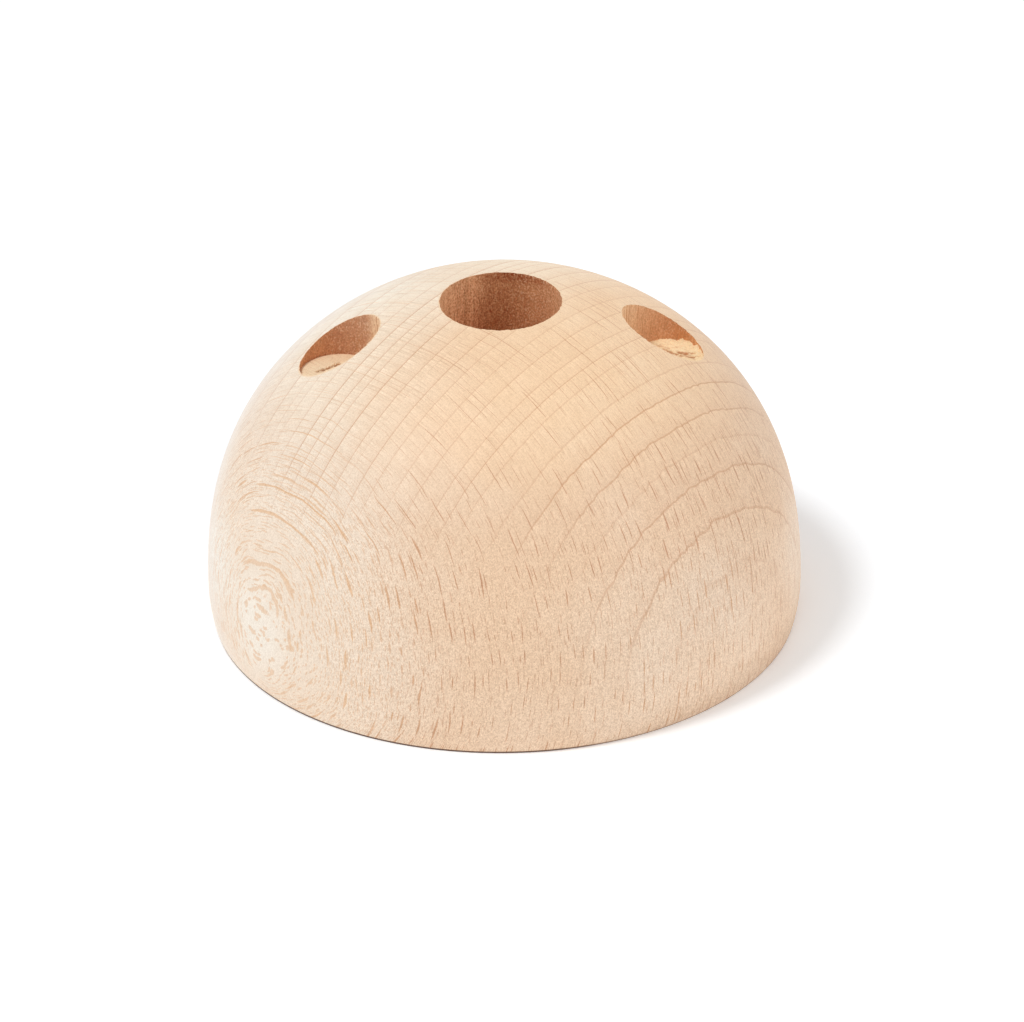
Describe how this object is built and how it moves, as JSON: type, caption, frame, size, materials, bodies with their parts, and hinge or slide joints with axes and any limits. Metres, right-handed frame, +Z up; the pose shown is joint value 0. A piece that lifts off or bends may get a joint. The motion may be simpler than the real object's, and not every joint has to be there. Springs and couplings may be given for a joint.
{
  "type": "half ball balance trainer",
  "caption": "High half ball of turned solid beech on a flat base, with a wide blind bore in its crown and a narrower shallow blind bore on each side of it.",
  "frame": {"origin": "centre of the flat base, on the surface that the block stands on", "axes": "+Z up along the body's axis and all the bores; the side bores lie on the X axis, one at -X and one at +X; the pictured front is -Y"},
  "size_m": [0.15, 0.15, 0.087],
  "materials": {
    "beech": "bare, fine sanded, satin matte"
  },
  "bodies": {
    "root": {"half_ball": "beech"}
  },
  "joints": []
}
